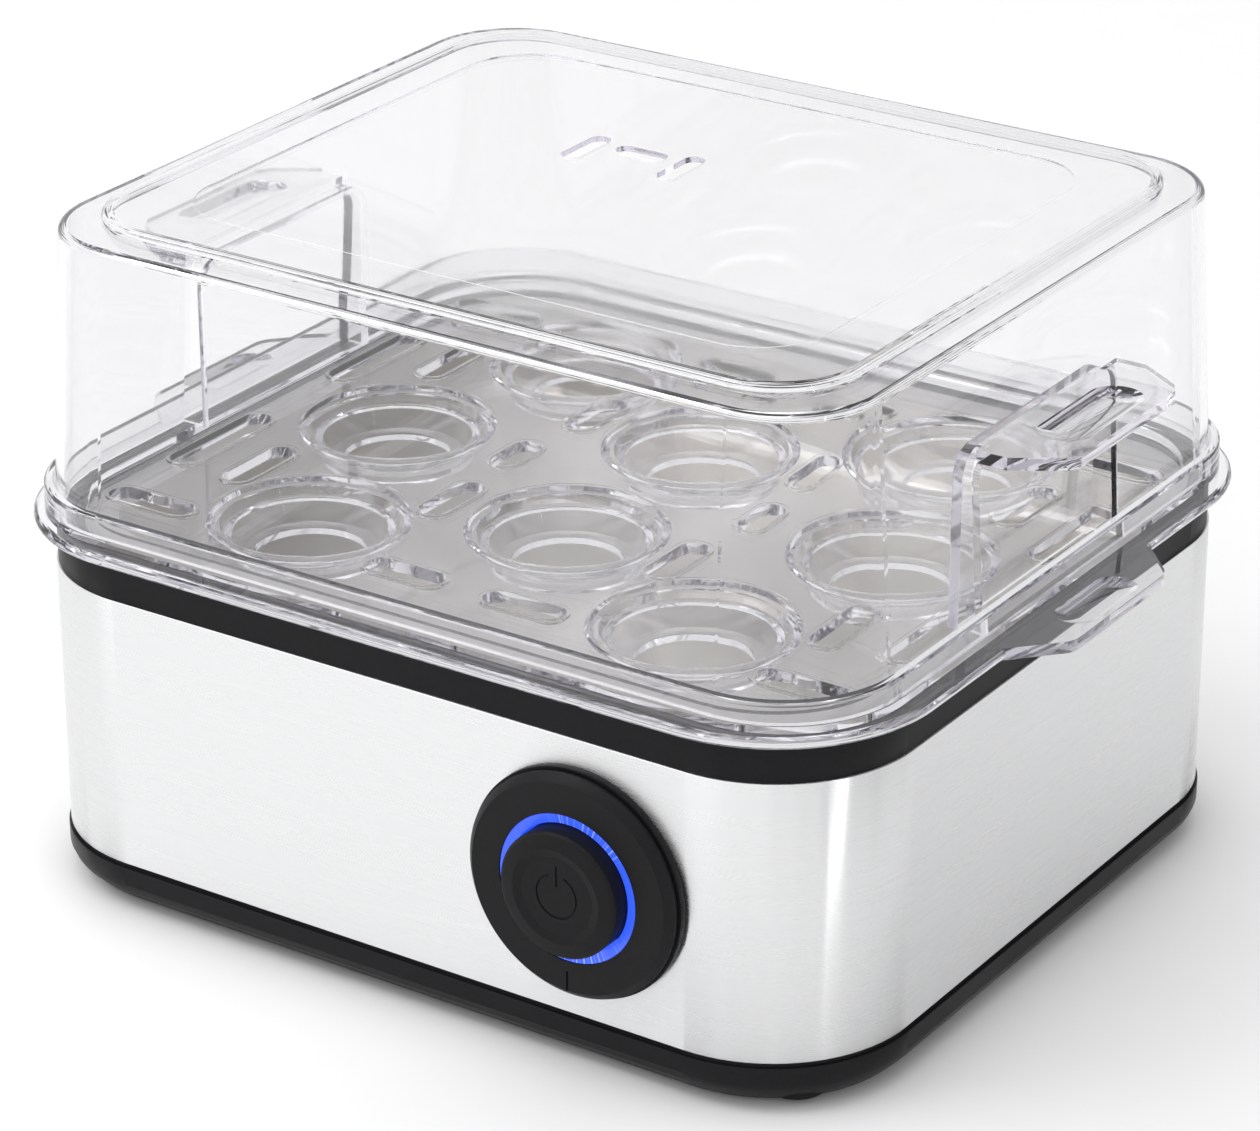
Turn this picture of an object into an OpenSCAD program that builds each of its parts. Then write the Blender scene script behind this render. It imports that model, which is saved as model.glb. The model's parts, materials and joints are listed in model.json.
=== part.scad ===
// Electric egg cooker for eight eggs: brushed steel body on a black base, sprung power
// button in a lit bezel, heated water dish, clear egg tray and clear steam lid.
// The origin is on the floor, under the middle of the body. Front is -Y, right is +X.

/* [Body] */
// Width of the steel body, left to right
body_w = 180; // [176:1:190]
// Depth of the steel body, front to back
body_d = 158; // [156:1:166]
// Outer corner radius of the steel body
corner_r = 28; // [26:1:30]
// How far the rubber feet stand out under the base
foot_h = 1.5; // [1:0.1:2]
// Height of the black base, from its underside to the lower edge of the steel
base_h = 8.5; // [8.5:0.1:9]
// Height of the steel band
band_h = 54; // [54:0.5:58]
// Height of the black collar above the steel
collar_h = 8; // [8:0.1:8.5]

/* [Egg tray] */
// How far the tray's flange stands out past the body
flange_over = 3.7; // [3:0.1:5]
// Thickness of the flange at its edge
flange_t = 2.3; // [2:0.1:2.4]
// Height of the tray's upright rim above the flange
rim_h = 5.5; // [5:0.1:7]
// Radius of an egg seat at the tray's floor
seat_r = 18; // [16:0.5:18]
// Distance from the middle to the outermost edge of a grip tab
grip_reach = 102; // [100:0.5:104]

/* [Lid] */
// Height of the lid, from its lower edge to the top plate
lid_h = 56.6; // [56.6:0.2:62]
// Wall thickness of the lid
lid_t = 1.5; // [1.3:0.1:1.5]
// Height of the lid's side handles above its lower edge
handle_z = 31.8; // [28:0.2:34]
// Half the length of a side handle
handle_half = 25; // [22:0.5:26]

/* [Control] */
// Distance of the power button from the middle of the front
control_x = 40.4; // [38:0.2:42]
// Height of the power button above the floor
control_z = 37; // [36.5:0.1:37.5]
// Outer radius of the bezel
bezel_r = 21.9; // [21:0.1:22.5]
// Radius of the power button
button_r = 12; // [12:0.05:12.1]
// How far the button can be pressed in
button_travel = 2.5; // [1.5:0.1:2.5]

/* [Hidden] */
$fn = 64;

// Heights above the floor
z_base = foot_h;
z_band = z_base + base_h;
z_collar = z_band + band_h;
z_flange = z_collar + collar_h;
z_floor = z_flange + 1;
z_rim = z_flange + flange_t + rim_h;
z_ledge = z_floor + 2;
z_lid = z_ledge + 0.1;
z_lid_top = z_lid + lid_h;
z_deck = z_collar + 1;
z_dish = z_deck - 13;

// Body and collar
cover_t = 2.5;
steel_t = 0.8;
lip_gap = 0.1;
lip_t = 1.8;
deck_t = 3;
deck_inset = 11;

// Screws and feet
post_reach = corner_r - 7.35;
post_x = body_w / 2 - corner_r + post_reach * cos(45);
post_y = body_d / 2 - corner_r + post_reach * cos(45);
post_r = 4;
cover_screw_r = 1.5;
foot_r = 8;
foot_x = 58;
foot_y = 48;
foot_pocket = 0.8;
fit = 0.06;

// Heater, under the dish
dish_t = 0.8;
plate_t = 4;
z_plate = z_dish - plate_t;
tube_r = 3.3;
element_r = 38;
leg_x = 10;
z_tube = z_plate - tube_r;
z_shield = z_plate - 9.8;
shield_t = 0.6;
shield_h = 8.6;
stud_x = 50;
stud_y = 36;
ear_x = body_w / 2 - 6.8;
ear_y = 30;

// Control, measured outwards from the front of the steel
bezel_front = 4;
sleeve_r = 16.2;
sleeve_depth = 9;
web_t = 2;
ring_r = 14.1;
button_front = 7.5;
button_face = button_front - 0.4;
button_wall = 1.7;
stem_r = 2.5;
stem_end = -10.6;
clip_t = 0.8;
retainer_t = 2.1;
bezel_screw_out = 19;
board_front = -17.3;
board_t = 1.6;
board_w = 43;
board_top = 12;
board_low = -21;
led_offset = 9.1;

// Mains entry at the back
gland_x = -45;
gland_z = 22;
gland_bore = 3.4;
gland_out = 7.5;
block_y = 35;
wire_r = 1.1;

// Egg seats: four corners, two sides and two in the middle
seats = [
  for (sx = [-1, 1], sy = [-1, 1]) [42 * sx, 45 * sy],
  for (s = [-1, 1]) [55 * s, 0],
  for (s = [-1, 1]) [0, 22.5 * s]
];
seat_depth = 8;
seat_wall = 1.5;

// Raised edge of the seats and slots
raised = 0.4;

// Lid corners and grip niches
lid_corner = 24;
niche_x = body_w / 2 - 7.5;

// Steam slots of the tray: [x, y, length, angle], mirrored into all four quarters
slot_w = 6;
slots = [
  [13, 55, 17, 0],
  [70.5, 55.5, 19, 0],
  [64.5, 31, 19, 90],
  [78.2, 25, 28, 90],
  [25, 24, 17, 90],
  [27, 0, 13, 90]
];

// ---- Helpers ----

// Points of an arc about (x, y), from angle a to angle b
function arc(x, y, r, a, b, steps = 6) = [
  for (i = [0:steps]) [x + r * cos(a + (b - a) * i / steps), y + r * sin(a + (b - a) * i / steps)]
];

// Rounded rectangle by its half sizes and corner radius
module round_rect(hx, hy, r) {
  square([2 * hx, 2 * (hy - r)], center = true);
  square([2 * (hx - r), 2 * hy], center = true);
  for (sx = [-1, 1], sy = [-1, 1]) {
    translate([sx * (hx - r), sy * (hy - r)]) circle(r);
  }
}

// Body outline moved inwards
module outline(inset, r = corner_r) {
  round_rect(body_w / 2 - inset, body_d / 2 - inset, r - inset);
}

// Straight block with the body's outline moved inwards
module block(inset, z0, z1, r = corner_r) {
  translate([0, 0, z0]) linear_extrude(z1 - z0) outline(inset, r);
}

// Solid whose side runs round the body's outline along a profile of [inset, height] points
module swept(profile, r = corner_r) {
  cx = body_w / 2 - r;
  cy = body_d / 2 - r;
  low = profile[0][1];
  high = profile[len(profile) - 1][1];
  half = concat([[0, low]], [for (p = profile) [r - p[0], p[1]]], [[0, high]]);
  for (sx = [-1, 1], sy = [-1, 1]) {
    translate([sx * cx, sy * cy, 0]) rotate_extrude() polygon(half);
  }
  rotate([90, 0, 0]) linear_extrude(2 * cy, center = true) mirrored_profile(profile, body_w / 2);
  rotate([90, 0, 90]) linear_extrude(2 * cx, center = true) mirrored_profile(profile, body_d / 2);
}

// Whole cross-section of a swept solid, from one side to the other
module mirrored_profile(profile, reach) {
  n = len(profile);
  right = [for (p = profile) [reach - p[0], p[1]]];
  left = [for (i = [n - 1:-1:0]) [profile[i][0] - reach, profile[i][1]]];
  polygon(concat(right, left));
}

// Copies in the four quarters, at (+-x, +-y)
module at_corners(x, y) {
  for (sx = [-1, 1], sy = [-1, 1]) translate([sx * x, sy * y, 0]) children();
}

// Slot outline with round ends, along X
module slot(length, width) {
  square([length - width, width], center = true);
  for (s = [-1, 1]) translate([s * (length - width) / 2, 0]) circle(width / 2);
}

// Tube between two heights
module tube(r_out, r_in, z0, z1) {
  translate([0, 0, z0]) linear_extrude(z1 - z0) difference() {
    circle(r_out);
    circle(r_in);
  }
}

// Pan-head screw along +Z: the head's seat is at 0 and the shank points up
module screw(shank_r, length, head_r, head_h) {
  cross = head_r * 1.1;
  difference() {
    union() {
      cylinder(h = length, r = shank_r);
      translate([0, 0, -head_h]) cylinder(h = head_h, r1 = head_r * 0.8, r2 = head_r);
    }
    for (a = [0, 90]) {
      rotate([0, 0, a]) translate([-cross / 2, -head_r * 0.12, -head_h - 1]) {
        cube([cross, head_r * 0.24, head_h * 0.55 + 1]);
      }
    }
  }
}

// Frame of the control: +Z points out of the front, +Y is up
module at_control() {
  translate([control_x, -body_d / 2, control_z]) rotate([90, 0, 0]) children();
}

// Places of the four screws that hold the board
module at_board_posts() {
  for (sx = [-1, 1], y = [board_low + 4, board_top - 4]) {
    translate([sx * (board_w / 2 - 4), y, 0]) children();
  }
}

// Places of the four screws that hold the bezel
module at_bezel_screws() {
  for (a = [45:90:315]) rotate([0, 0, a]) translate([bezel_screw_out, 0, 0]) children();
}

// Point of a smooth curve through a list of points, at share t of the stretch after point i
function on_curve(p, i, t) = let (
  a = p[max(i - 1, 0)],
  b = p[i],
  c = p[i + 1],
  d = p[min(i + 2, len(p) - 1)]
) 0.5 * (2 * b + (c - a) * t + (2 * a - 5 * b + 4 * c - d) * t * t + (3 * b - a - 3 * c + d) * t * t * t);

// Smooth route through a list of points
function route(p, steps = 4) = concat(
  [for (i = [0:len(p) - 2], k = [0:steps - 1]) on_curve(p, i, k / steps)],
  [p[len(p) - 1]]
);

function unit(v) = v / norm(v);

// Insulated wire along a smooth route through the points
module wire(points, r, sides = 8) {
  path = route(points);
  n = len(path);
  up = unit([0.55, -0.35, 0.76]);
  function wire_ring(i) = let (
    along = unit(path[min(i + 1, n - 1)] - path[max(i - 1, 0)]),
    across = unit(cross(along, up)),
    over = cross(across, along)
  ) [for (k = [0:sides - 1]) path[i] + r * (cos(360 * k / sides) * across + sin(360 * k / sides) * over)];
  rings = [for (i = [0:n - 1]) each wire_ring(i)];
  skin = [
    for (i = [0:n - 2], k = [0:sides - 1]) let (m = (k + 1) % sides, a = i * sides, b = a + sides)
      each [[a + k, b + k, b + m], [a + k, b + m, a + m]]
  ];
  ends = [
    [for (k = [0:sides - 1]) k],
    [for (k = [sides - 1:-1:0]) (n - 1) * sides + k]
  ];
  polyhedron(rings, concat(skin, ends), convexity = 10);
}

// ---- Base ----

module bottom_cover() {
  band_top = z_band - 0.8;
  side = [
    [2.9, z_base], [0.3, z_base + 2.6], [-0.4, z_base + 4.2], [-0.4, band_top], [0.45, band_top],
    [0.45, z_band], [steel_t + lip_gap, z_band], [steel_t + lip_gap, z_band + 4]
  ];
  color("#1b1b1d") difference() {
    union() {
      difference() {
        swept(side);
        block(steel_t + lip_gap + lip_t, z_base + cover_t, z_band + 5);
      }
      at_corners(post_x, post_y) translate([0, 0, z_base]) cylinder(h = cover_t + 2.5, r = 5.6);
    }
    at_corners(post_x, post_y) {
      translate([0, 0, z_base - 1]) cylinder(h = cover_t + 1, r = 3.6);
      translate([0, 0, z_base]) cylinder(h = 8, r = cover_screw_r + fit);
    }
    at_corners(foot_x, foot_y) {
      translate([0, 0, z_base - 1]) cylinder(h = 1 + foot_pocket, r = foot_r + fit);
      translate([0, 0, z_base]) cylinder(h = cover_t + 1, r = 2.5 + fit);
    }
    for (x = [-24:8:24], y = [-30, 30]) {
      translate([x, y, z_base - 1]) linear_extrude(cover_t + 2) rotate([0, 0, 90]) slot(22, 3);
    }
  }
}

module rubber_feet() {
  head_z = z_base + cover_t;
  color("#2b2b2d") at_corners(foot_x, foot_y) difference() {
    rotate_extrude() polygon([
      [0, 0], [foot_r - 1, 0], [foot_r, 0.8], [foot_r, z_base + foot_pocket],
      [2.5, z_base + foot_pocket], [2.5, head_z + 0.05], [3.3, head_z + 0.05], [2, head_z + 1.6],
      [0, head_z + 1.6]
    ]);
    translate([0, 0, -1]) cylinder(h = 1.5, r = 3);
  }
}

module cover_screws() {
  color("#b9bbbd") at_corners(post_x, post_y) translate([0, 0, z_base + cover_t]) {
    screw(cover_screw_r, 14, 3.1, 1.9);
  }
}

module rating_label() {
  color("#c9cbcd") translate([0, 0, z_base - 0.25]) linear_extrude(0.25) round_rect(31, 15, 2);
}

module steel_band() {
  color("#d9dadb") difference() {
    block(0, z_band, z_collar);
    block(steel_t, z_band - 1, z_collar + 1);
    at_control() {
      translate([0, 0, -5]) cylinder(h = 10, r = sleeve_r + 0.1);
      at_bezel_screws() translate([0, 0, -5]) cylinder(h = 10, r = 1.3, $fn = 24);
    }
    translate([gland_x, body_d / 2 + 1, gland_z]) rotate([90, 0, 0]) cylinder(h = 10, r = 5.4);
  }
}

module top_collar() {
  lip_inset = steel_t + lip_gap;
  wall_in = lip_inset + 2;
  side = concat(
    [[lip_inset, z_collar - 6], [lip_inset, z_collar], [0.4, z_collar]],
    arc(1.2, z_flange - 0.8, 0.8, 180, 90, 4)
  );
  color("#161617") difference() {
    union() {
      difference() {
        swept(side);
        block(wall_in, z_collar - 7, z_deck);
        block(wall_in, z_deck + deck_t, z_flange + 1);
        block(deck_inset, z_collar - 7, z_flange + 1);
      }
      at_corners(post_x, post_y) {
        translate([0, 0, z_base + cover_t + 2.55]) cylinder(h = z_deck - z_base - cover_t - 2, r = post_r);
      }
      at_corners(ear_x, ear_y) {
        translate([0, 0, z_plate - 0.6]) cylinder(h = z_deck - z_plate + 1, r = 3.4);
      }
    }
    at_corners(post_x, post_y) cylinder(h = z_base + cover_t + 16, r = cover_screw_r + fit);
    at_corners(ear_x, ear_y) cylinder(h = z_plate + 12, r = 1.5 + fit);
  }
}

// ---- Water dish and heater ----

module dish_gasket() {
  z = z_deck + deck_t;
  color("#8f3b2e") difference() {
    block(7, z, z + 1);
    block(deck_inset - 0.6, z - 1, z + 2);
  }
}

module heating_dish() {
  z_rim_top = z_deck + deck_t + 1 + dish_t;
  wall = deck_inset + 0.5;
  outer = concat(
    arc(wall + 5, z_dish + 5, 5, 270, 180, 5),
    [[wall, z_rim_top - dish_t], [5.6, z_rim_top - dish_t], [5.6, z_rim_top]]
  );
  inner = concat(
    arc(wall + 5, z_dish + 5, 5 - dish_t, 270, 180, 5),
    [[wall + dish_t, z_rim_top + 1]]
  );
  color("#b8b6b2") difference() {
    swept(outer);
    swept(inner);
  }
}

module heater_plate() {
  color("#9da0a3") translate([0, 0, z_plate]) linear_extrude(plate_t) round_rect(60, 47, 14);
}

module heating_element() {
  leg_y = sqrt(element_r * element_r - leg_x * leg_x);
  color("#77726c") translate([0, 0, z_tube]) {
    difference() {
      rotate_extrude() translate([element_r, 0]) circle(tube_r, $fn = 32);
      translate([2 - leg_x, 0, -10]) cube([2 * leg_x - 4, 60, 20]);
    }
    for (s = [-1, 1]) translate([s * leg_x, leg_y - 1, 0]) rotate([-90, 0, 0]) {
      cylinder(h = 15, r = tube_r - 0.5, $fn = 32);
      cylinder(h = 22, r = 1.2, $fn = 24);
    }
  }
}

module heater_studs() {
  color("#b9bbbd") at_corners(stud_x, stud_y) {
    translate([0, 0, z_shield - 4]) cylinder(h = z_plate - z_shield + 4, r = 2, $fn = 32);
  }
}

module heater_nuts() {
  color("#a9abad") at_corners(stud_x, stud_y) translate([0, 0, z_shield - 3.2]) difference() {
    cylinder(h = 3.2, r = 4, $fn = 6);
    translate([0, 0, -1]) cylinder(h = 6, r = 2 + fit, $fn = 32);
  }
}

module heat_shield() {
  color("#a7a9ab") difference() {
    union() {
      translate([0, 0, z_shield]) linear_extrude(shield_h) round_rect(66, 54, 12);
      for (s = [-1, 1]) {
        translate([-ear_x - 5, s * ear_y - 5, z_shield + shield_h]) cube([2 * ear_x + 10, 10, shield_t]);
      }
    }
    translate([0, 0, z_shield + shield_t]) linear_extrude(shield_h + 2) {
      round_rect(66 - shield_t, 54 - shield_t, 12 - shield_t);
    }
    at_corners(stud_x, stud_y) translate([0, 0, z_shield - 1]) cylinder(h = 3, r = 2.2, $fn = 32);
    at_corners(ear_x, ear_y) cylinder(h = z_plate + 5, r = 1.7, $fn = 32);
    translate([0, 0, z_shield - 1]) cylinder(h = 3, r = 9);
    for (s = [-1, 1]) {
      translate([s * leg_x, 50, z_tube]) rotate([-90, 0, 0]) cylinder(h = 8, r = 4.4, $fn = 32);
    }
  }
}

module shield_screws() {
  color("#b9bbbd") at_corners(ear_x, ear_y) translate([0, 0, z_shield + shield_h - 0.05]) {
    screw(1.5, 11, 3, 1.8);
  }
}

module thermostat() {
  color("#3a3431") difference() {
    union() {
      translate([0, 0, z_plate - 12]) cylinder(h = 12, r = 8);
      for (s = [-1, 1]) translate([s * 4 - 0.4, -3, z_plate - 18]) cube([0.8, 6, 7]);
      translate([0, 0, z_plate - 1.2]) linear_extrude(1.2) rotate([0, 0, 45]) slot(28, 8);
    }
    for (s = [-1, 1]) {
      rotate([0, 0, 45]) translate([s * 10.5, 0, z_plate - 3]) cylinder(h = 4, r = 1.6, $fn = 24);
    }
  }
}

module thermal_fuse() {
  color("#e2dccd") translate([-12, -22, z_plate - 2.3]) rotate([0, 90, 0]) {
    cylinder(h = 24, r = 2.2, $fn = 32);
    translate([0, 0, -5]) cylinder(h = 34, r = 0.5, $fn = 16);
  }
}

module fuse_clips() {
  color("#a9abad") for (x = [-8, 6]) {
    translate([x, -22, z_plate - 2.3]) rotate([0, 90, 0]) difference() {
      union() {
        cylinder(h = 3, r = 2.9, $fn = 32);
        translate([-2.3, -5.5, 0]) cube([0.7, 11, 3]);
      }
      translate([0, 0, -1]) cylinder(h = 5, r = 2.25, $fn = 32);
      translate([-4.3, -8, -1]) cube([2, 16, 5]);
    }
  }
}

// ---- Control ----

module bezel_ring() {
  groove = 1.4;
  tick_h = 4;
  color("#1d1d1f") at_control() difference() {
    rotate_extrude() polygon([
      [stem_r + fit, -sleeve_depth], [sleeve_r, -sleeve_depth], [sleeve_r, 0.05], [bezel_r, 0.05],
      [bezel_r, groove], [bezel_r - 0.9, groove], [bezel_r - 0.9, groove + 0.3],
      [bezel_r - 0.5, groove + 0.3], [bezel_r - 0.5, 2.6], [bezel_r - 1.9, bezel_front],
      [ring_r + 0.1, bezel_front], [ring_r + 0.1, web_t - sleeve_depth],
      [stem_r + fit, web_t - sleeve_depth]
    ]);
    for (sx = [-1, 1], sy = [-1, 1]) {
      translate([sx * led_offset, sy * led_offset, -10]) cylinder(h = 4, r = 1, $fn = 24);
    }
    at_bezel_screws() translate([0, 0, -1]) cylinder(h = 3.6, r = 1.1 + fit, $fn = 24);
    translate([-0.25, -20.2, bezel_front - 0.3]) cube([0.5, tick_h, 1]);
  }
}

module bezel_retainer() {
  low = -steel_t - 0.05 - retainer_t;
  color("#26262a") at_control() difference() {
    union() {
      translate([0, (board_top + board_low + 6) / 2, low]) linear_extrude(retainer_t) {
        round_rect(board_w / 2, (board_top - board_low + 6) / 2, 3);
      }
      at_board_posts() translate([0, 0, board_front]) cylinder(h = low - board_front + 1, r = 2.8);
    }
    translate([0, 0, -20]) cylinder(h = 22, r = sleeve_r + 0.1);
    at_bezel_screws() translate([0, 0, -5]) cylinder(h = 6, r = 1.3, $fn = 24);
    at_board_posts() translate([0, 0, board_front - 1]) cylinder(h = 9, r = 1 + fit, $fn = 24);
  }
}

module bezel_screws() {
  seat = -steel_t - 0.05 - retainer_t;
  color("#b9bbbd") at_control() at_bezel_screws() translate([0, 0, seat]) screw(1.1, 5, 2, 1.2);
}

module light_ring() {
  color("#2f55ff") at_control() rotate_extrude() polygon([
    [button_r + 0.35, web_t - sleeve_depth + 0.05], [ring_r, web_t - sleeve_depth + 0.05],
    [ring_r, bezel_front - 0.2], [button_r + 0.35, bezel_front - 0.5]
  ]);
}

module control_board() {
  color("#1f5a36") at_control() difference() {
    translate([0, (board_top + board_low) / 2, board_front - board_t]) linear_extrude(board_t) {
      round_rect(board_w / 2, (board_top - board_low) / 2, 1.5);
    }
    at_board_posts() translate([0, 0, board_front - 3]) cylinder(h = 5, r = 1.2, $fn = 24);
  }
}

module board_screws() {
  color("#b9bbbd") at_control() at_board_posts() {
    translate([0, 0, board_front - board_t]) screw(1, 7, 2, 1.2);
  }
}

module tact_switch() {
  color("#303033") at_control() {
    translate([-3, -3, board_front]) cube([6, 6, 3.4]);
    translate([0, 0, board_front + 3.4]) cylinder(h = 0.6, r = 1.7, $fn = 32);
  }
}

module ring_leds() {
  color("#dfe6ff") at_control() {
    for (sx = [-1, 1], sy = [-1, 1]) translate([sx * led_offset, sy * led_offset, board_front]) {
      cylinder(h = 5, r = 1.5, $fn = 32);
      translate([0, 0, 5]) sphere(1.5, $fn = 32);
      cylinder(h = 1, r = 1.9, $fn = 32);
    }
  }
}

module power_relay() {
  color("#2a4c8c") at_control() translate([-1.5, -17, board_front - board_t - 11]) cube([15, 12, 11]);
}

module capacitor() {
  color("#3c3f8a") at_control() translate([-11, -7, board_front - board_t - 10]) difference() {
    cylinder(h = 10, r = 4, $fn = 32);
    translate([0, 0, 8.2]) tube(5, 3.7, 0, 0.5);
  }
}

module buzzer() {
  color("#141415") at_control() translate([0, 3, board_front - board_t - 5]) difference() {
    cylinder(h = 5, r = 6, $fn = 48);
    translate([0, 0, -1]) cylinder(h = 3, r = 1, $fn = 24);
  }
}

module power_button() {
  symbol_r = 4.3;
  line = 0.35;
  cut = 0.25;
  skirt = web_t - sleeve_depth + button_travel + 0.3;
  color("#19191b") at_control() difference() {
    union() {
      rotate_extrude() polygon([
        [0, button_face - button_wall], [button_r - button_wall, button_face - button_wall],
        [button_r - button_wall, skirt], [button_r, skirt], [button_r, button_front - 0.9],
        [button_r - 0.5, button_front - 0.4], [button_r - 2.9, button_front], [button_r - 3.1, button_front],
        [button_r - 4.6, button_face], [0, button_face]
      ]);
      translate([0, 0, stem_end]) cylinder(h = button_face - stem_end - 0.5, r = stem_r);
    }
    tube(stem_r + 1, stem_r - 0.35, -sleeve_depth - clip_t - 0.15, -sleeve_depth - 0.05);
    difference() {
      tube(symbol_r, symbol_r - line, button_face - cut, button_face + 1);
      translate([-1.6, 0, 0]) cube([3.2, 6, 20]);
    }
    translate([-line / 2, 1.9, button_face - cut]) cube([line, 3.9, 2]);
  }
}

module button_clip() {
  color("#b9bbbd") at_control() difference() {
    tube(stem_r + 1.9, stem_r - 0.3, -sleeve_depth - clip_t - 0.1, -sleeve_depth - 0.1);
    translate([-0.8, 0, -20]) cube([1.6, 6, 20]);
  }
}

// Compression spring round the stem, between the bezel's web and the button
module button_spring() {
  coil_r = 4.4;
  coil_wire_r = 0.35;
  turns = 6;
  per_turn = 16;
  sides = 8;
  low = web_t - sleeve_depth + coil_wire_r + 0.05;
  high = button_face - button_wall - coil_wire_r - 0.05;
  rings = turns * per_turn;
  function spring_point(i, k) = let (
    a = 360 * i / per_turn,
    b = 360 * k / sides,
    r = coil_r + coil_wire_r * cos(b)
  ) [r * cos(a), r * sin(a), low + (high - low) * i / rings + coil_wire_r * sin(b)];
  points = [for (i = [0:rings], k = [0:sides - 1]) spring_point(i, k)];
  skin = [
    for (i = [0:rings - 1], k = [0:sides - 1]) let (m = (k + 1) % sides, a = i * sides, b = a + sides)
      each [[a + k, a + m, b + m], [a + k, b + m, b + k]]
  ];
  ends = [
    [for (k = [sides - 1:-1:0]) k],
    [for (k = [0:sides - 1]) rings * sides + k]
  ];
  color("#b9bbbd") at_control() polyhedron(points, concat(skin, ends), convexity = 10);
}

// ---- Mains entry and wiring ----

module cable_gland() {
  color("#1b1b1d") translate([gland_x, body_d / 2, gland_z]) rotate([-90, 0, 0]) rotate_extrude() polygon([
    [gland_bore, -9], [5.3, -9], [5.3, 0.05], [8, 0.05], [8, 1.6], [7.2, 2.4], [5.2, 2.4],
    [4.7, gland_out - 0.5], [4.3, gland_out], [gland_bore, gland_out]
  ]);
}

module gland_nut() {
  color("#26262a") translate([gland_x, body_d / 2 - steel_t - 0.1, gland_z]) rotate([90, 0, 0]) difference() {
    cylinder(h = 4, r = 9, $fn = 6);
    translate([0, 0, -1]) cylinder(h = 6, r = 5.3 + fit);
  }
}

module terminal_block() {
  color("#e4e2dc") translate([gland_x, block_y, z_base + cover_t]) difference() {
    translate([-15, -8, 0]) cube([30, 16, 12]);
    for (x = [-10, 0, 10]) {
      translate([x, -9, 5]) rotate([-90, 0, 0]) cylinder(h = 18, r = 1.6, $fn = 24);
      for (y = [-4, 4]) translate([x, y, 7]) cylinder(h = 6, r = 1.5, $fn = 24);
    }
  }
}

module block_screws() {
  color("#c2a252") translate([gland_x, block_y, z_base + cover_t + 7]) for (x = [-10, 0, 10], y = [-4, 4]) {
    translate([x, y, 0]) difference() {
      cylinder(h = 3.4, r = 1.4, $fn = 24);
      translate([-2, -0.25, 2.4]) cube([4, 0.5, 2]);
    }
  }
}

module earth_lug() {
  color("#c2a252") translate([-stud_x, stud_y, z_shield - 4.1]) difference() {
    union() {
      cylinder(h = 0.8, r = 4.2, $fn = 32);
      translate([-2, 0, 0]) cube([4, 12, 0.8]);
    }
    translate([0, 0, -1]) cylinder(h = 3, r = 2 + fit, $fn = 32);
  }
}

module live_wires() {
  z = z_base + cover_t + 5;
  color("#6b3f22") {
    wire([
      [gland_x - 10, block_y - 7, z], [gland_x - 10, block_y - 11, z], [gland_x - 10, block_y - 17, z],
      [-20, -20, z + 4], [10, -40, z + 6], [22, -59, 28]
    ], wire_r);
    wire([[34, -58, 24], [34, -50, 18], [20, -20, 16], [4, -4, 20], [4, -2.2, z_plate - 18.4]], wire_r);
  }
}

module neutral_wires() {
  z = z_base + cover_t + 5;
  color("#2c56a8") {
    wire([
      [gland_x, block_y - 7, z], [gland_x, block_y - 11, z], [gland_x, block_y - 17, z],
      [-12, 20, z + 8], [8, 52, z + 20], [leg_x, 60, z_tube]
    ], wire_r);
  }
}

module earth_wire() {
  z = z_base + cover_t + 5;
  color("#6f9a2d") {
    wire([
      [gland_x + 10, block_y - 7, z], [gland_x + 10, block_y - 11, z], [gland_x + 10, block_y - 15, z],
      [-48, block_y - 8, z + 13], [-stud_x, stud_y + 11, z_shield - 6]
    ], wire_r);
  }
}

// ---- Egg tray ----

// Smooth finger rest, sunk below z = 0 along X
module scoop(length, width, depth) {
  r = (width * width / 4 + depth * depth) / (2 * depth);
  reach = (length - width) / 2;
  translate([0, 0, r - depth]) {
    for (s = [-1, 1]) translate([s * reach, 0, 0]) sphere(r);
    rotate([0, 90, 0]) cylinder(h = 2 * reach, r = r, center = true);
  }
}

// Outline of a tab whose outer corners are round: it narrows from the root to the outer edge
module tab_outline(root, half_root, half_end, r) {
  polygon(concat(
    [[root, -half_root]],
    arc(grip_reach - r, r - half_end, r, -50, 0),
    arc(grip_reach - r, half_end - r, r, 0, 50),
    [[root, half_root]]
  ));
}

// Children at every steam slot, turned to the slot; $slot_length is that slot's length
module at_slots() {
  for (s = slots, sx = [-1, 1], sy = (s[1] == 0) ? [1] : [-1, 1]) {
    $slot_length = s[2];
    translate([sx * s[0], sy * s[1], 0]) rotate([0, 0, s[3]]) children();
  }
}

// Cup under the floor that an egg's end stands in
module seat_cup() {
  rotate_extrude() polygon([
    [0, z_floor - seat_depth], [14.6, z_floor - seat_depth], [16, z_floor - 3.6], [17.4, z_floor - 3.6],
    [seat_r + 1.2, z_floor - 1.9], [seat_r + 1.2, z_floor + raised], [0, z_floor + raised]
  ]);
}

// Stepped hollow of an egg seat, open at the bottom
module seat_hollow() {
  bottom = z_floor - seat_depth;
  rotate_extrude() polygon([
    [0, bottom - 1], [10.5, bottom - 1], [10.5, bottom + seat_wall], [13, bottom + seat_wall],
    [14.4, z_floor - 2.2], [16, z_floor - 2.2], [16.6, z_floor - 0.6], [seat_r, z_floor - 0.6],
    [seat_r + 0.3, z_floor + 1], [0, z_floor + 1]
  ]);
}

// Grip tabs at the left and right, each with a finger rest
module grip_tabs() {
  root = body_w / 2 + 1;
  for (turn = [0, 180]) rotate([0, 0, turn]) translate([0, 0, z_flange + 0.05]) difference() {
    linear_extrude(flange_t - 0.05) tab_outline(root, 29, 20, 5);
    translate([(root + grip_reach) / 2 + 0.5, 0, flange_t - 0.05]) rotate([0, 0, 90]) scoop(22, 8, 0.9);
  }
}

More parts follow.
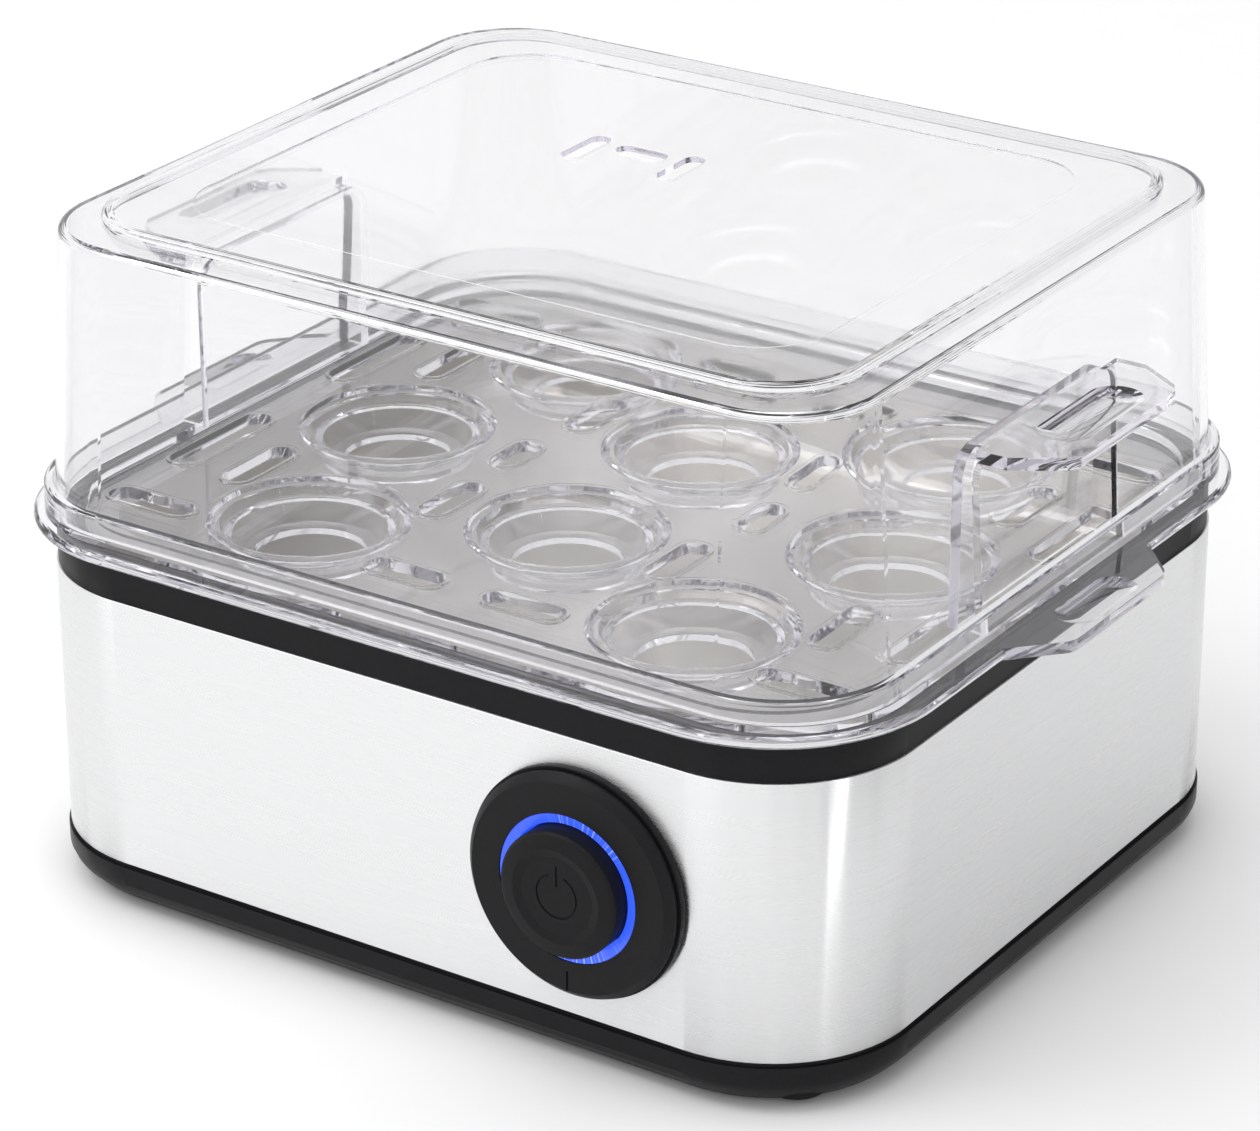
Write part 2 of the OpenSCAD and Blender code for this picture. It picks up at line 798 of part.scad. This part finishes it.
// Flange and floor plate of the tray, which follow the body's corners
module tray_base() {
  edge = flange_t / 2 - 0.05;
  swept(concat(
    [[3.3, z_floor - 2], [3.3, z_flange + 0.05]],
    arc(edge - flange_over, z_flange + 0.05 + edge, edge, 270, 90, 8),
    [[4, z_flange + flange_t - 0.05]]
  ));
}

// Upright rim of the tray, which follows the lid's corners
module tray_rim() {
  swept(concat(
    [[0, z_flange + 1], [0, z_flange + flange_t - 0.05], [0.1, z_rim - 0.7]],
    arc(0.8, z_rim - 0.7, 0.7, 180, 90, 4)
  ), lid_corner);
}

module egg_tray() {
  color("#c9ccd2", 0.4) difference() {
    union() {
      difference() {
        union() {
          tray_base();
          tray_rim();
        }
        swept([[6.5, z_floor], [6.2, z_ledge + 0.5]]);
        swept([[1.9, z_ledge], [1.7, z_rim + 1]], lid_corner);
      }
      grip_tabs();
      for (s = seats) translate([s[0], s[1], 0]) seat_cup();
      at_slots() translate([0, 0, z_floor - 1]) {
        linear_extrude(1 + raised) slot($slot_length + 1.4, slot_w + 1.4);
      }
    }
    for (s = seats) translate([s[0], s[1], 0]) seat_hollow();
    at_slots() translate([0, 0, z_floor - 5]) linear_extrude(8) slot($slot_length, slot_w);
  }
}

// ---- Lid ----

// Outer form: drafted walls, a nearly flat shoulder and the raised top plate
module lid_outside() {
  wall_top = z_lid_top - 3.8;
  walls = concat(
    [[2, z_lid], [2.4, z_lid + 7]],
    arc(6.8, wall_top, 1.6, 180, 100, 5),
    [[11.4, z_lid_top - 1.9]]
  );
  swept(walls, lid_corner);
  swept(concat(
    [[11.2, z_lid_top - 3]],
    arc(12.9, z_lid_top - 1.4, 1.4, 180, 90, 5)
  ));
}

// Hollow inside the lid, one wall thickness in
module lid_inside() {
  wall_top = z_lid_top - 3.8;
  shoulder_in = z_lid_top - 1.9 - lid_t;
  walls = concat(
    [[2 + lid_t, z_lid - 1], [2.4 + lid_t, z_lid + 7]],
    arc(5.7 + lid_t, wall_top - lid_t + 1.1, 0.5, 180, 100, 4),
    [[11.4 + lid_t, shoulder_in]]
  );
  swept(walls, lid_corner);
  swept(concat(
    [[11.5 + lid_t, shoulder_in - 1]],
    arc(12.3 + lid_t, z_lid_top - lid_t - 0.8, 0.8, 180, 90, 4)
  ));
}

// Block that forms the grip niches under both handles, grown by a wall thickness
module niches(grow) {
  top = z_lid + handle_z + grow;
  round_r = 4 + grow;
  half = handle_half - 0.6 + grow;
  for (turn = [0, 180]) rotate([0, 0, turn]) translate([niche_x - grow, 0, 0]) {
    rotate([90, 0, 90]) linear_extrude(20) {
      translate([0, top - 20]) round_rect(half, 20, round_r);
      translate([-half, z_lid - 2]) square([2 * half, 10]);
    }
  }
}

// Side handles, with chamfered corners and a finger rest
module lid_handles() {
  tab_t = 2.4;
  for (turn = [0, 180]) rotate([0, 0, turn]) translate([0, 0, z_lid + handle_z]) difference() {
    linear_extrude(tab_t) polygon([
      [niche_x, -handle_half], [grip_reach - 10, -handle_half], [grip_reach - 1.5, -19.5], [grip_reach, -17],
      [grip_reach, 17], [grip_reach - 1.5, 19.5], [grip_reach - 10, handle_half], [niche_x, handle_half]
    ]);
    translate([grip_reach - 7.5, 0, tab_t]) rotate([0, 0, 90]) scoop(28, 10, 1);
  }
}

// Three steam vents near the middle of the top
module lid_vents() {
  for (x = [-21, 0]) translate([x, 14.5, z_lid_top - 6]) rotate([0, 0, 90]) linear_extrude(10) slot(13.5, 4.2);
  translate([-10.5, 17.3, z_lid_top - 6]) linear_extrude(10) slot(11, 4.2);
}

module lid_shell() {
  panel = 24;
  panel_corner = 38;
  color("#dfe2e8", 0.35) difference() {
    union() {
      lid_outside();
      lid_handles();
    }
    difference() {
      lid_inside();
      niches(lid_t);
    }
    niches(0);
    block(panel, z_lid_top - 0.4, z_lid_top + 1, panel_corner);
    lid_vents();
  }
}

bottom_cover();
rubber_feet();
cover_screws();
rating_label();
steel_band();
top_collar();
dish_gasket();
heating_dish();
heater_plate();
heating_element();
heater_studs();
heater_nuts();
heat_shield();
shield_screws();
thermostat();
thermal_fuse();
fuse_clips();
bezel_ring();
bezel_retainer();
bezel_screws();
light_ring();
control_board();
board_screws();
tact_switch();
ring_leds();
power_relay();
capacitor();
buzzer();
terminal_block();
block_screws();
earth_lug();
live_wires();
neutral_wires();
earth_wire();
cable_gland();
gland_nut();
power_button();
button_clip();
button_spring();
egg_tray();
lid_shell();
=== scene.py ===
"""Looks, lights and camera for the egg cooker. Metres, +Z up, front is -Y, right is +X."""

import json
import math

import bpy
from mathutils import Matrix, Vector


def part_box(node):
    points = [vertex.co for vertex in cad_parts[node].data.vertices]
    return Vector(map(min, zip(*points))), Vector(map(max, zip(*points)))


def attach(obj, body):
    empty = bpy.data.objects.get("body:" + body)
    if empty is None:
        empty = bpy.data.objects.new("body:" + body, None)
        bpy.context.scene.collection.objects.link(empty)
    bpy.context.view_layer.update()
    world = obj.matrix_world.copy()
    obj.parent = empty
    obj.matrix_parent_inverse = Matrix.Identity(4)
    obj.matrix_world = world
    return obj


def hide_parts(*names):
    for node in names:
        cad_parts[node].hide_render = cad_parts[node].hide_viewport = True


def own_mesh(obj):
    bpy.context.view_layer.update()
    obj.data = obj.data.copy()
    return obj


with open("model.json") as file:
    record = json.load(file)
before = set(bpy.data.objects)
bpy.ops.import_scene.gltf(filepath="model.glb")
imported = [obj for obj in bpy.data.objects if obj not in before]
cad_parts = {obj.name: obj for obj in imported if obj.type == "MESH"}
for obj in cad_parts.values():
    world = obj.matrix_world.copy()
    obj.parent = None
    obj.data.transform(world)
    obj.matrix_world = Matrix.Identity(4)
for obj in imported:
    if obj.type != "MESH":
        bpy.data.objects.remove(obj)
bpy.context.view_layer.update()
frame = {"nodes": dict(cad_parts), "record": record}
nodes = frame["nodes"]

MM = 0.001

# ---- Node trees ----


class Look:
    """A material under construction: its node tree, its Principled shader and short ways to add nodes."""

    def __init__(self, name, colour, roughness, **inputs):
        self.material = bpy.data.materials.new(name)
        self.material.use_nodes = True
        self.tree = self.material.node_tree
        self.shader = self.tree.nodes["Principled BSDF"]
        self.output = self.tree.nodes["Material Output"]
        self.set("Base Color", (*colour, 1))
        self.set("Roughness", roughness)
        for key, value in inputs.items():
            self.set(key.replace("_", " "), value)
        self.place = self.add("ShaderNodeTexCoord").outputs["Object"]

    def set(self, socket, value):
        self.shader.inputs[socket].default_value = value

    def add(self, kind, **values):
        """A node of that kind. Values name its properties, or its input sockets by name or number."""
        made = self.tree.nodes.new(kind)
        for key, value in values.items():
            if hasattr(made, key):
                setattr(made, key, value)
                continue
            target = made.inputs[int(key[1:]) if key[1:].isdigit() else key.replace("_", " ")]
            if isinstance(value, bpy.types.NodeSocket):
                self.tree.links.new(value, target)
            else:
                target.default_value = value
        return made

    def link(self, source, socket):
        self.tree.links.new(source, self.shader.inputs[socket])

    def stretched(self, x, y, z):
        """Object coordinates times three scales, per metre."""
        scaled = self.add("ShaderNodeVectorMath", operation="MULTIPLY", i0=self.place, i1=(x, y, z))
        return scaled.outputs[0]

    def noise(self, scale=1.0, detail=3.0, vector=None):
        """Noise from 0 to 1, at scale per metre."""
        made = self.add("ShaderNodeTexNoise", Vector=vector or self.place, Scale=scale, Detail=detail)
        return made.outputs["Fac"]

    def spread(self, source, low, high, from_low=0.3, from_high=0.7):
        """The source's range spread over low to high."""
        return self.add(
            "ShaderNodeMapRange", i0=source, i1=from_low, i2=from_high, i3=low, i4=high
        ).outputs[0]

    def math(self, operation, a, b=0.0):
        return self.add("ShaderNodeMath", operation=operation, i0=a, i1=b).outputs[0]

    def tint(self, source, dark, light):
        """A colour between two, picked by source."""
        ramp = self.add("ShaderNodeValToRGB", Fac=source)
        ramp.color_ramp.elements[0].color = (*dark, 1)
        ramp.color_ramp.elements[1].color = (*light, 1)
        return ramp.outputs["Color"]

    def bump(self, height, distance, strength=1.0):
        """Bumps of that height in metres. Returns the new normal."""
        made = self.add("ShaderNodeBump", Height=height, Distance=distance, Strength=strength)
        return made.outputs["Normal"]


# ---- Materials ----

# Brushed steel: the share of its colour that is left between the lines, the fine lines' share of the pattern,
# and how many times coarser the broad lines are
STEEL_SHADE = 0.975
FINE_SHARE = 0.7
BROAD_RATIO = 9

# Moulded plastic: the grain's scale per metre and its depth, the scale of the uneven gloss, how many times as
# bright the grain's tops are, and the usual specular level
GRAIN = 2600
GRAIN_DEPTH = 0.01 * MM
GLOSS_PATCHES = 38
WORN = 1.35
PLASTIC_SPECULAR = 0.12

# Plated metal: the mottling's scale per metre and its depth, and the share of the colour left where it is
# dark
MOTTLE = 900
MOTTLE_DEPTH = 0.006 * MM
MOTTLE_SHADE = 0.85

# Clear plastic: the scale per metre and the depth of the ripples that moulding leaves, the scale of the
# uneven gloss, the least and greatest roughness, and the share of the tint that its shadows let through
RIPPLES = 26
RIPPLE_DEPTH = 0.09 * MM
CLEAR_PATCHES = 90
CLEAR_GLOSS = (0.012, 0.035)
SHADOW_PASS = 0.95

# Light guide: how many fine streaks of painted highlight and how many groups of them the noise has room for
# round the ring, and how strongly it glows
HIGHLIGHT_STREAK_SCALE = 150.0
HIGHLIGHT_GROUP_SCALE = 5.0
GUIDE_GLOW = 0.9


def brushed_steel(name, colour, roughness, along=(22, 22, 5200), depth=0.004 * MM):
    """Stainless steel with fine level brush lines, so that highlights spread up and down.

    along holds the pattern's scale per metre on each axis."""
    look = Look(name, colour, roughness, Metallic=1.0, Anisotropic=1.0, Anisotropic_Rotation=0.25)
    lines = look.noise(vector=look.stretched(*along), detail=5.0)
    broad = look.noise(vector=look.stretched(*(a / BROAD_RATIO for a in along)), detail=2.0)
    fine_part = look.math("MULTIPLY", lines, FINE_SHARE)
    both = look.math("ADD", fine_part, look.math("MULTIPLY", broad, 1 - FINE_SHARE))
    look.link(look.spread(both, roughness - 0.02, roughness + 0.03), "Roughness")
    shade = tuple(c * STEEL_SHADE for c in colour)
    look.link(look.tint(look.spread(both, 0, 1), shade, colour), "Base Color")
    look.link(look.bump(both, depth), "Normal")
    tangent = look.add("ShaderNodeTangent", direction_type="RADIAL", axis="Z")
    look.link(tangent.outputs[0], "Tangent")
    return look.material


def moulded_plastic(name, colour, roughness, specular=PLASTIC_SPECULAR):
    """Moulded plastic: fine spark-eroded grain, soft uneven gloss and a slightly paler tone on the grain's
    tops."""
    look = Look(name, colour, roughness, Specular_IOR_Level=specular)
    grain = look.noise(GRAIN, 2.0)
    soft = look.noise(GLOSS_PATCHES, 3.0)
    look.link(look.spread(soft, roughness - 0.05, roughness + 0.06), "Roughness")
    look.link(look.tint(look.spread(grain, 0, 1), colour, tuple(c * WORN for c in colour)), "Base Color")
    look.link(look.bump(grain, GRAIN_DEPTH), "Normal")
    return look.material


def plain_metal(name, colour, roughness):
    """Turned or plated metal for screws, nuts and clips."""
    look = Look(name, colour, roughness, Metallic=1.0)
    mottle = look.noise(MOTTLE, 4.0)
    shade = tuple(c * MOTTLE_SHADE for c in colour)
    look.link(look.spread(mottle, roughness - 0.08, roughness + 0.1), "Roughness")
    look.link(look.tint(look.spread(mottle, 0, 1), shade, colour), "Base Color")
    look.link(look.bump(mottle, MOTTLE_DEPTH), "Normal")
    return look.material


def clear_plastic(name, tint, absorb, density):
    """Clear moulded plastic, thick enough to bend light. Its shadows let light through, as the real thing's
    do."""
    look = Look(name, tint, 0.02, IOR=1.5, Transmission_Weight=1.0)
    look.link(look.spread(look.noise(CLEAR_PATCHES, 3.0), *CLEAR_GLOSS), "Roughness")
    look.link(look.bump(look.noise(RIPPLES, 2.0), RIPPLE_DEPTH, 0.5), "Normal")
    shadow = look.add("ShaderNodeLightPath").outputs["Is Shadow Ray"]
    through = look.add("ShaderNodeBsdfTransparent")
    through.inputs["Color"].default_value = (*(c * SHADOW_PASS for c in tint), 1)
    mixed = look.add("ShaderNodeMixShader", i0=shadow, i1=look.shader.outputs[0], i2=through.outputs[0])
    look.tree.links.new(mixed.outputs[0], look.output.inputs["Surface"])
    inside = look.add("ShaderNodeVolumeAbsorption")
    inside.inputs["Color"].default_value = (*absorb, 1)
    inside.inputs["Density"].default_value = density
    look.tree.links.new(inside.outputs[0], look.output.inputs["Volume"])
    return look.material


def lit_guide(name, centre):
    """Translucent light guide lit blue by four lamps behind it, with fine pale streaks of painted highlight
    in places.
    """
    look = Look(name, (0.05, 0.1, 0.5), 0.25)
    local = look.add("ShaderNodeVectorMath", operation="SUBTRACT", i0=look.place, i1=centre)
    offset = local.outputs[0]
    turned = look.add("ShaderNodeVectorRotate", rotation_type="X_AXIS", Vector=offset, Angle=math.pi / 2)
    sweep = look.add("ShaderNodeTexGradient", gradient_type="RADIAL", Vector=turned.outputs[0])
    angle = sweep.outputs["Fac"]
    fine = look.add("ShaderNodeCombineXYZ", X=look.math("MULTIPLY", angle, HIGHLIGHT_STREAK_SCALE)).outputs[0]
    broad = look.add("ShaderNodeCombineXYZ", X=look.math("MULTIPLY", angle, HIGHLIGHT_GROUP_SCALE)).outputs[0]
    streaks = look.spread(look.noise(1.0, 2.0, fine), 0, 1, 0.52, 0.66)
    highlight_groups = look.spread(look.noise(1.0, 0.0, broad), 0, 1, 0.48, 0.62)
    pale = look.math("MULTIPLY", streaks, highlight_groups)
    # The pale streaks are painted highlights, drawn in the guide's glow colour
    look.link(look.tint(pale, (0.012, 0.07, 0.85), (0.4, 0.55, 1.0)), "Emission Color")
    look.set("Emission Strength", GUIDE_GLOW)
    return look.material


def printed_board(name):
    """Green circuit board with a weave under its lacquer."""
    look = Look(name, (0.02, 0.12, 0.05), 0.3, Coat_Weight=0.5)
    weave = look.noise(vector=look.stretched(900, 900, 220))
    look.link(look.tint(look.spread(weave, 0, 1), (0.012, 0.09, 0.035), (0.035, 0.17, 0.07)), "Base Color")
    look.link(look.bump(weave, 0.02 * MM), "Normal")
    return look.material


def colour_of(slot):
    """The record's base colour of a material slot."""
    return next(m["base_color"][:3] for m in frame["record"]["materials"] if m["slot"] == slot)


# Roughness of each plain plastic and metal, by material slot
PLASTIC_ROUGHNESS = {
    "base_plastic": 0.36, "collar_plastic": 0.42, "foot_rubber": 0.75, "label_foil": 0.4,
    "gasket_silicone": 0.5, "phenolic": 0.5, "fuse_ceramic": 0.55, "button_plastic": 0.48,
    "inner_plastic": 0.5, "gland_plastic": 0.42, "led_epoxy": 0.15,
    "relay_blue": 0.35, "capacitor_sleeve": 0.3, "block_nylon": 0.45, "wire_brown": 0.4,
    "wire_blue": 0.4, "wire_green": 0.4,
}
METAL_ROUGHNESS = {
    "cast_aluminium": 0.5, "zinc_screw": 0.3, "spring_steel": 0.28, "brass": 0.3, "shield_steel": 0.35,
    "element_steel": 0.45,
}


def make_materials():
    """One finished material for each of the record's material slots."""
    made = {s: moulded_plastic(s, colour_of(s), gloss) for s, gloss in PLASTIC_ROUGHNESS.items()}
    made.update({s: plain_metal(s, colour_of(s), gloss) for s, gloss in METAL_ROUGHNESS.items()})
    made["band_steel"] = brushed_steel("band_steel", (0.80, 0.805, 0.81), 0.26)
    made["dish_steel"] = brushed_steel(
        "dish_steel", (0.66, 0.64, 0.61), 0.3, along=(20, 1400, 20), depth=0.01 * MM
    )
    bezel_colour = colour_of("bezel_plastic")
    made["bezel_plastic"] = moulded_plastic("bezel_plastic", bezel_colour, 0.44, specular=0.15)
    made["board_green"] = printed_board("board_green")
    low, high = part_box("light_ring")
    made["light_guide"] = lit_guide("light_guide", [(a + b) / 2 for a, b in zip(low, high)])
    made["tray_clear"] = clear_plastic("tray_clear", (0.93, 0.93, 0.94), (0.70, 0.69, 0.74), 30)
    made["lid_clear"] = clear_plastic("lid_clear", (0.972, 0.972, 0.978), (0.76, 0.73, 0.82), 20)
    return made


# ---- Dressing the CAD pieces ----

# Corners nearer than this are welded, in millimetres, and edges sharper than this are rounded, in degrees
WELD_GAP = 0.002
SHARP_ANGLE = 35

# Width of the rounding that moulded and pressed edges get, in millimetres
EDGE_ROUND = {
    "bottom_cover": 0.35, "top_collar": 0.3, "steel_band": 0.15, "bezel_ring": 0.25, "power_button": 0.2,
    "cable_gland": 0.2,
}


def weld_and_round(node, width):
    """Rounds the piece's sharp edges, with its seams welded first. A piece with no rounding stays unwelded,
    because welding upsets the smooth shading of the clear pieces' long faces."""
    if width:
        weld = node.modifiers.new("Weld", "WELD")
        weld.merge_threshold = WELD_GAP * MM
        edge = node.modifiers.new("Round edges", "BEVEL")
        edge.width = width * MM
        edge.segments = 2
        edge.limit_method = "ANGLE"
        edge.angle_limit = math.radians(SHARP_ANGLE)
        edge.harden_normals = True


def dress():
    """Gives every CAD piece its finished material."""
    made = make_materials()
    slot_of = {s["node"]: s["material_slot"] for s in frame["record"]["subparts"]}
    for name, node in nodes.items():
        node.data.materials.clear()
        node.data.materials.append(made[slot_of[name]])
        weld_and_round(node, EDGE_ROUND.get(name, 0))


def add_working_spring():
    """The button's spring, as its own copy of the CAD spring's mesh, attached to the base body.

    It stands for the CAD spring, which is hidden."""
    name = "button_spring"
    spring = bpy.data.objects.new("spring_coil", nodes[name].data.copy())
    bpy.context.scene.collection.objects.link(spring)
    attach(spring, "base")
    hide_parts(name)
    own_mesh(spring)


# ---- Stage, lights and camera ----

# Brightness of the studio walls, the direction in which they grow dimmer, towards the back right, and where
# along it that starts and ends
WALL_BRIGHT = 1.06
WALL_DIM = 0.56
DIM_WAY = (0.82, 0.57, 0.0)
BRIGHT_UNTIL = -0.25
DIM_FROM = 0.75

# The point that the lights face
LIT_POINT = (0, 0, 0.06)

# Half the floor's side
FLOOR_HALF = 4.0

# Camera of the main view: lens and sensor in millimetres, place and aim in metres, roll in degrees
LENS = 135.25
SENSOR = 36
CAMERA_PLACE = (0.4483, -0.6739, 0.4274)
CAMERA_AIM = (-0.0017, 0, 0.0560)
CAMERA_ROLL = -0.147


def area_light(name, direction, distance, size, watts):
    """Rectangular soft light. direction is (azimuth, elevation) in degrees, azimuth from the front to the
    right."""
    azimuth, elevation = (math.radians(a) for a in direction)
    away = Vector((
        math.sin(azimuth) * math.cos(elevation),
        -math.cos(azimuth) * math.cos(elevation),
        math.sin(elevation),
    ))
    data = bpy.data.lights.new(name, "AREA")
    data.shape = "RECTANGLE"
    data.size, data.size_y = size
    data.energy = watts
    lamp = bpy.data.objects.new(name, data)
    lamp.location = Vector(LIT_POINT) + away * distance
    lamp.rotation_euler = away.to_track_quat("Z", "Y").to_euler()
    bpy.context.scene.collection.objects.link(lamp)


def build_floor():
    """Large pale floor."""
    mesh = bpy.data.meshes.new("floor")
    corners = [(FLOOR_HALF * x, FLOOR_HALF * y, 0) for x, y in ((-1, -1), (1, -1), (1, 1), (-1, 1))]
    mesh.from_pydata(corners, [], [(0, 1, 2, 3)])
    floor = bpy.data.objects.new("floor", mesh)
    bpy.context.scene.collection.objects.link(floor)
    look = Look("floor_paper", (0.93, 0.93, 0.93), 0.6)
    look.link(look.tint(look.noise(60, 4.0), (0.92, 0.92, 0.92), (0.94, 0.94, 0.94)), "Base Color")
    mesh.materials.append(look.material)


def build_surroundings():
    """White studio walls, brightest at the front left and dimmest at the back right."""
    world = bpy.data.worlds.new("studio")
    bpy.context.scene.world = world
    world.use_nodes = True
    tree = world.node_tree
    add = tree.nodes.new
    way = add("ShaderNodeTexCoord").outputs["Generated"]
    towards = add("ShaderNodeVectorMath")
    towards.operation = "DOT_PRODUCT"
    towards.inputs[1].default_value = DIM_WAY
    tree.links.new(way, towards.inputs[0])
    walls = add("ShaderNodeMapRange")
    for number, value in enumerate((BRIGHT_UNTIL, DIM_FROM, WALL_BRIGHT, WALL_DIM), start=1):
        walls.inputs[number].default_value = value
    tree.links.new(towards.outputs["Value"], walls.inputs[0])
    background = tree.nodes["Background"]
    background.inputs["Color"].default_value = (1, 1, 1, 1)
    tree.links.new(walls.outputs[0], background.inputs["Strength"])


def build_lights():
    """Soft boxes, and a thin strip that draws the line on the front right corner.

    The key box at the upper left lights the chamfers and the steel's top edge."""
    area_light("key_box", (-50, 49), 1.5, (0.7, 0.7), 4.0)
    area_light("front_box", (-25, 30), 1.5, (1.1, 0.8), 0.6)
    area_light("top_box", (10, 80), 1.5, (1.3, 1.3), 4.0)
    area_light("strip", (72.3, 12), 1.6, (0.012, 1.2), 1.6)


def build_camera():
    """Camera of the main view: from the front right and above."""
    data = bpy.data.cameras.new("camera")
    data.sensor_width = SENSOR
    data.lens = LENS
    camera = bpy.data.objects.new("camera", data)
    place = Vector(CAMERA_PLACE)
    turn = (place - Vector(CAMERA_AIM)).to_track_quat("Z", "Y").to_matrix().to_4x4()
    roll = Matrix.Rotation(math.radians(CAMERA_ROLL), 4, "Z")
    camera.matrix_world = Matrix.Translation(place) @ turn @ roll
    bpy.context.scene.collection.objects.link(camera)
    bpy.context.scene.camera = camera


def set_colour_and_bounces():
    """Plain photographic colour, and enough bounces for light to cross the lid and tray."""
    scene = bpy.context.scene
    scene.view_settings.view_transform = "Standard"
    scene.cycles.max_bounces = 40
    scene.cycles.transmission_bounces = 40
    scene.cycles.transparent_max_bounces = 24
    scene.cycles.glossy_bounces = 32


dress()
add_working_spring()
build_floor()
build_surroundings()
build_lights()
build_camera()
set_colour_and_bounces()
